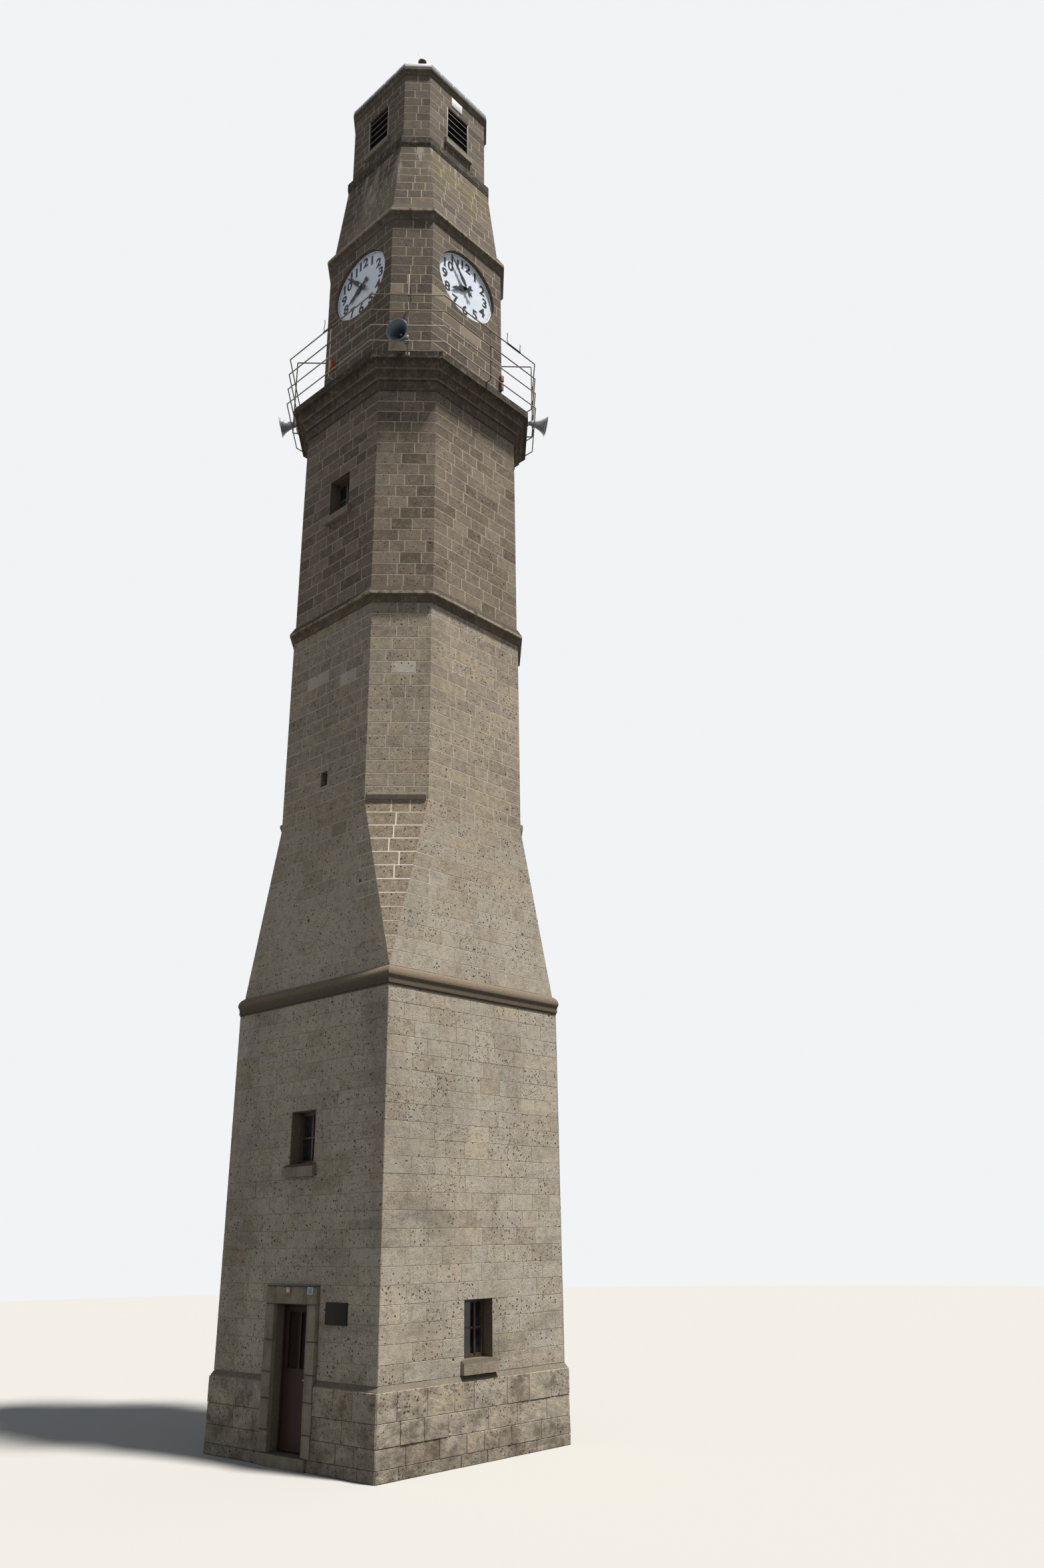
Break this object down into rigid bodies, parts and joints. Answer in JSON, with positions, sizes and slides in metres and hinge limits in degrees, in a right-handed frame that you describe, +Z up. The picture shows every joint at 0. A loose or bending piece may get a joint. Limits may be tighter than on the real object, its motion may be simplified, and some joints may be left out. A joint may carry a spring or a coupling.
{
  "type": "clock tower",
  "caption": "Stone clock tower: square base with a door, broach to an octagonal shaft, railed balcony, clock dials on the main faces, louvred belfry and low roof.",
  "frame": {"origin": "centre of the flat underside of the square base, at the lowest ground", "axes": "+Z up, -Y out of the door face, +X out of the face to the right of the door"},
  "size_m": [4.8626, 4.8626, 31.9],
  "materials": {
    "base_stone": "rough ashlar, porous, light beige grey",
    "floor_stone": "worn flagstone",
    "trim_stone": "dressed stone",
    "broach_stone": "rough ashlar with pale joints",
    "string_stone": "weathered moulded stone",
    "shaft_stone": "rough ashlar with pale joints",
    "cornice_stone": "moulded stone with dark lichen",
    "clock_stone": "rough ashlar with pale joints",
    "taper_stone": "rough ashlar with pale joints",
    "belfry_stone": "rough ashlar with pale joints",
    "door_paint": "maroon brown paint, worn",
    "handle_metal": "dull chrome",
    "bronze": "dark patinated bronze",
    "plate_paint": "white enamel",
    "window_paint": "dark brown paint",
    "window_glass": "dusty glass",
    "louvre_paint": "pale weathered paint",
    "dial_enamel": "white enamel with black numerals",
    "hand_paint": "black paint",
    "roof_sheet": "grey blue sheet",
    "finial_metal": "white painted metal",
    "rail_steel": "galvanised, partly rusted",
    "horn_metal": "grey painted aluminium",
    "box_paint": "orange red paint"
  },
  "bodies": {
    "tower": {"door_wall_left": "base_stone", "door_wall_centre": "base_stone", "door_wall_right": "base_stone", "right_wall": "base_stone", "back_wall": "base_stone", "left_wall": "base_stone", "ground_floor": "floor_stone", "threshold": "floor_stone", "door_surround": "trim_stone", "sills": "trim_stone", "broach_faces": "broach_stone", "broach_sides": "broach_stone", "broach_strings": "string_stone", "string_faces": "string_stone", "string_corners": "string_stone", "shaft_1_faces": "shaft_stone", "shaft_1_corners": "shaft_stone", "shaft_2_faces": "shaft_stone", "shaft_2_corners": "shaft_stone", "cornice_faces": "cornice_stone", "cornice_corners": "cornice_stone", "clock_faces": "clock_stone", "clock_corners": "clock_stone", "taper_faces": "taper_stone", "taper_corners": "taper_stone", "belfry_faces": "belfry_stone", "belfry_corners": "belfry_stone", "door_frame": "door_paint", "plaque": "bronze", "small_plates": "plate_paint", "window_frames": "window_paint", "window_glass": "window_glass", "louvre_frames": "louvre_paint", "louvre_slats": "louvre_paint", "dials": "dial_enamel", "roof": "roof_sheet", "finial": "finial_metal", "rails_faces": "rail_steel", "rails_corners": "rail_steel", "rail_posts": "rail_steel", "horns": "horn_metal", "service_boxes": "box_paint"},
    "door_leaf_body": {"door_leaf": "door_paint", "door_handle": "handle_metal", "door_panes": "window_glass"},
    "minute_hand_body_1": {"minute_hand_1": "hand_paint"},
    "hour_hand_body_1": {"hour_hand_1": "hand_paint"},
    "minute_hand_body_2": {"minute_hand_2": "hand_paint"},
    "hour_hand_body_2": {"hour_hand_2": "hand_paint"},
    "minute_hand_body_3": {"minute_hand_3": "hand_paint"},
    "hour_hand_body_3": {"hour_hand_3": "hand_paint"},
    "minute_hand_body_4": {"minute_hand_4": "hand_paint"},
    "hour_hand_body_4": {"hour_hand_4": "hand_paint"}
  },
  "joints": [
    {"name": "door_hinge", "type": "hinge", "parent": "tower", "child": "door_leaf_body", "pos_m": [-0.372, -1.79, 0.168], "axis": [0, 0, 1], "range_deg": [0, 90]},
    {"name": "minute_hand_turn_1", "type": "hinge", "parent": "tower", "child": "minute_hand_body_1", "pos_m": [0, -1.663, 22.775], "axis": [0, 1, 0], "continuous": true},
    {"name": "hour_hand_turn_1", "type": "hinge", "parent": "tower", "child": "hour_hand_body_1", "pos_m": [0, -1.637, 22.775], "axis": [0, 1, 0], "continuous": true},
    {"name": "minute_hand_turn_2", "type": "hinge", "parent": "tower", "child": "minute_hand_body_2", "pos_m": [1.663, 0, 22.775], "axis": [-1, 0, 0], "continuous": true},
    {"name": "hour_hand_turn_2", "type": "hinge", "parent": "tower", "child": "hour_hand_body_2", "pos_m": [1.637, 0, 22.775], "axis": [-1, 0, 0], "continuous": true},
    {"name": "minute_hand_turn_3", "type": "hinge", "parent": "tower", "child": "minute_hand_body_3", "pos_m": [0, 1.663, 22.775], "axis": [0, -1, 0], "continuous": true},
    {"name": "hour_hand_turn_3", "type": "hinge", "parent": "tower", "child": "hour_hand_body_3", "pos_m": [0, 1.637, 22.775], "axis": [0, -1, 0], "continuous": true},
    {"name": "minute_hand_turn_4", "type": "hinge", "parent": "tower", "child": "minute_hand_body_4", "pos_m": [-1.663, 0, 22.775], "axis": [1, 0, 0], "continuous": true},
    {"name": "hour_hand_turn_4", "type": "hinge", "parent": "tower", "child": "hour_hand_body_4", "pos_m": [-1.637, 0, 22.775], "axis": [1, 0, 0], "continuous": true}
  ],
  "couplings": [
    {"joint": "hour_hand_turn_1", "follows": "minute_hand_turn_1", "ratio": 0.083333},
    {"joint": "hour_hand_turn_2", "follows": "minute_hand_turn_2", "ratio": 0.083333},
    {"joint": "hour_hand_turn_3", "follows": "minute_hand_turn_3", "ratio": 0.083333},
    {"joint": "hour_hand_turn_4", "follows": "minute_hand_turn_4", "ratio": 0.083333}
  ]
}
